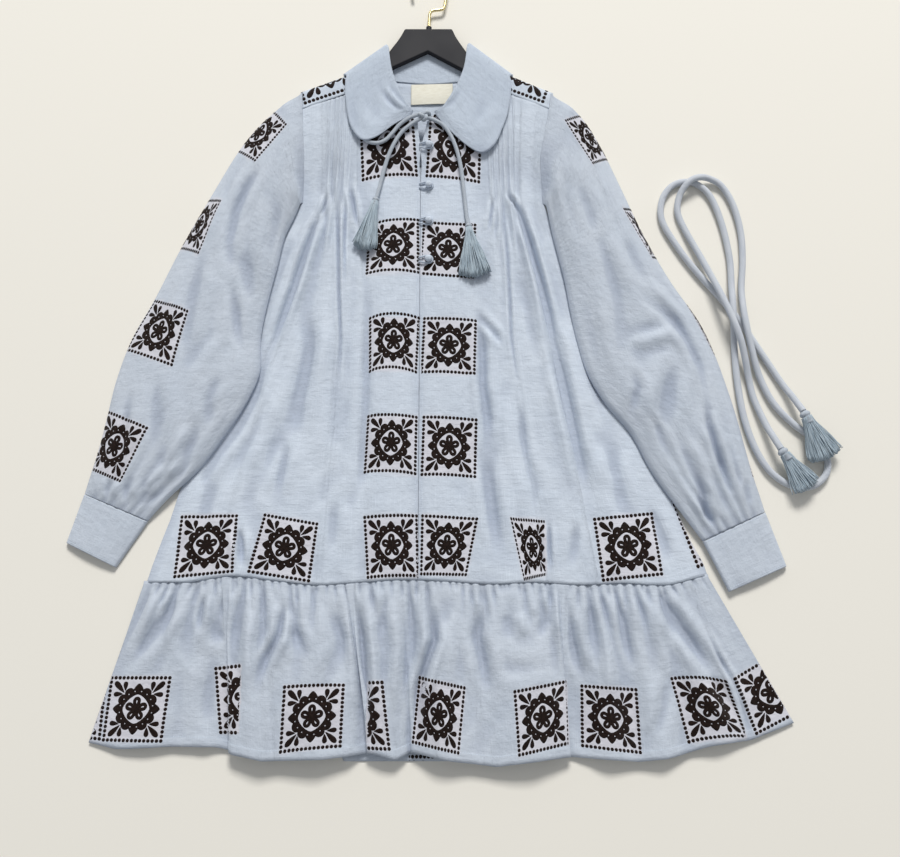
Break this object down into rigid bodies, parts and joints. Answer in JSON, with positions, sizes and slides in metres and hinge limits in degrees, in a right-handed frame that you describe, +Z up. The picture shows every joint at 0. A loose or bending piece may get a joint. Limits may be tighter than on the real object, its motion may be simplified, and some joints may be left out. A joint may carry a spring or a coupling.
{
  "type": "ruffle dress on a clothes hanger",
  "caption": "Long-sleeved smock dress with rounded collar, tasselled neck tie, pintucks, embroidered squares and gathered hem ruffle, laid flat on its hanger beside its rope belt",
  "frame": {"origin": "on the table top, under the centre of the dress and hanger, the belt and neck tie left out", "axes": "+Y toward the neck and hanger hook, +Z up from the table, +X to the viewer's right"},
  "size_m": [0.9044, 0.9977, 0.0257],
  "materials": {
    "front_left": "plain-weave linen, matte",
    "front_right": "plain-weave linen, matte",
    "back": "plain-weave linen, matte",
    "yoke": "plain-weave linen, matte",
    "collar": "plain-weave linen, matte",
    "collar_stand": "plain-weave linen, matte",
    "sleeve_left": "plain-weave linen, matte",
    "sleeve_right": "plain-weave linen, matte",
    "cuff_left": "plain-weave linen, matte",
    "cuff_right": "plain-weave linen, matte",
    "ruffle_front": "plain-weave linen, matte",
    "ruffle_back": "plain-weave linen, matte",
    "button_1": "plain-weave linen, matte",
    "button_2": "plain-weave linen, matte",
    "button_3": "plain-weave linen, matte",
    "button_4": "plain-weave linen, matte",
    "button_loop_1": "plain-weave linen, matte",
    "button_loop_2": "plain-weave linen, matte",
    "button_loop_3": "plain-weave linen, matte",
    "button_loop_4": "plain-weave linen, matte",
    "neck_tie_knot": "twisted matte yarn",
    "neck_tie_left": "twisted matte yarn",
    "neck_tie_loop": "twisted matte yarn",
    "neck_tie_right": "twisted matte yarn",
    "neck_tassel_left": "twisted matte yarn",
    "neck_tassel_right": "twisted matte yarn",
    "belt_rope": "twisted matte yarn",
    "belt_tassel_upper": "twisted matte yarn",
    "belt_tassel_lower": "twisted matte yarn",
    "neck_label": "woven satin",
    "hanger": "satin black",
    "hanger_hook": "polished pale gold"
  },
  "bodies": {
    "root": {"front_left": "front_left", "front_right": "front_right", "back": "back", "yoke": "yoke", "collar": "collar", "collar_stand": "collar_stand", "sleeve_left": "sleeve_left", "sleeve_right": "sleeve_right", "cuff_left": "cuff_left", "cuff_right": "cuff_right", "ruffle_front": "ruffle_front", "ruffle_back": "ruffle_back", "button_1": "button_1", "button_2": "button_2", "button_3": "button_3", "button_4": "button_4", "button_loop_1": "button_loop_1", "button_loop_2": "button_loop_2", "button_loop_3": "button_loop_3", "button_loop_4": "button_loop_4", "neck_tie_knot": "neck_tie_knot", "neck_tie_left": "neck_tie_left", "neck_tie_loop": "neck_tie_loop", "neck_tie_right": "neck_tie_right", "neck_tassel_left": "neck_tassel_left", "neck_tassel_right": "neck_tassel_right", "belt_rope": "belt_rope", "belt_tassel_upper": "belt_tassel_upper", "belt_tassel_lower": "belt_tassel_lower", "neck_label": "neck_label", "hanger": "hanger", "hanger_hook": "hanger_hook"}
  },
  "joints": []
}
